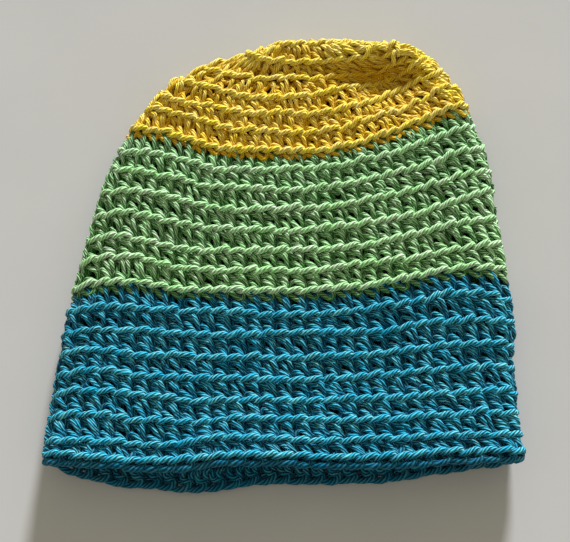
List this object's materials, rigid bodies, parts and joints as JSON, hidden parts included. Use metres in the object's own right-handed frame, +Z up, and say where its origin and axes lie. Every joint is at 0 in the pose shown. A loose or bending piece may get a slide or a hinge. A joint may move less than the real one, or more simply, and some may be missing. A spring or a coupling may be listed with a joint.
{
  "type": "crochet beanie",
  "caption": "Soft crocheted beanie with a rounded crown and three colour bands, lying flat with its mouth slightly open.",
  "frame": {"origin": "centre of the hat's box in plan, on the surface that it lies on", "axes": "+X across the hat towards its right fold, +Y from the mouth towards the crown, +Z up from the back panel to the front panel"},
  "size_m": [0.2464, 0.2514, 0.0297],
  "materials": {
    "yellow_yarn": "mustard yellow mercerised cotton yarn, plied and softly shiny, in half double crochet",
    "green_yarn": "light green mercerised cotton yarn, plied and softly shiny, in half double crochet",
    "blue_yarn": "turquoise blue mercerised cotton yarn, plied and softly shiny, in half double crochet"
  },
  "bodies": {
    "root": {"crown": "yellow_yarn", "middle_band": "green_yarn", "brim_band": "blue_yarn"}
  },
  "joints": []
}
